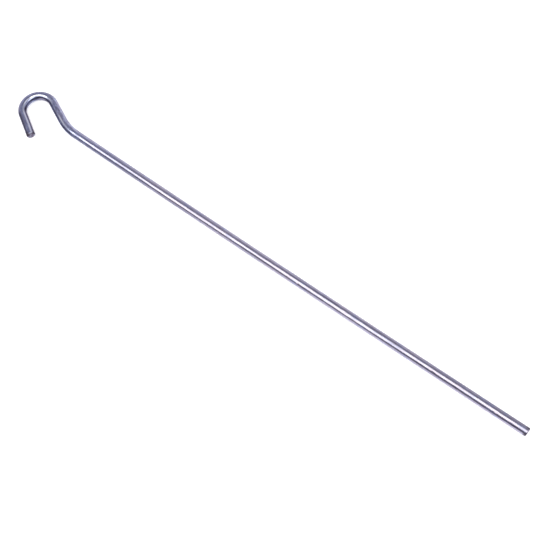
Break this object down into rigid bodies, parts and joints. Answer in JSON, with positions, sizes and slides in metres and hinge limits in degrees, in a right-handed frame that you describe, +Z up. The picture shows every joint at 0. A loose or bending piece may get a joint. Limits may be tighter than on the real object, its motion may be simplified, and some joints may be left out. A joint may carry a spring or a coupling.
{
  "type": "wire tent stake",
  "caption": "Round steel wire tent stake: long straight shank with a square-cut tip, slight neck bend and an open round hook for a guy line.",
  "frame": {"origin": "on the ground, in the middle of the footprint of the stake lying flat", "axes": "+X along the shank towards its tip, +Y towards the side the hook rises to, +Z up"},
  "size_m": [0.254, 0.0222, 0.0038],
  "materials": {
    "zinc_plated_steel": "bright zinc plating with a faint blue-violet tint"
  },
  "bodies": {
    "root": {"bent_wire_stake": "zinc_plated_steel"}
  },
  "joints": []
}
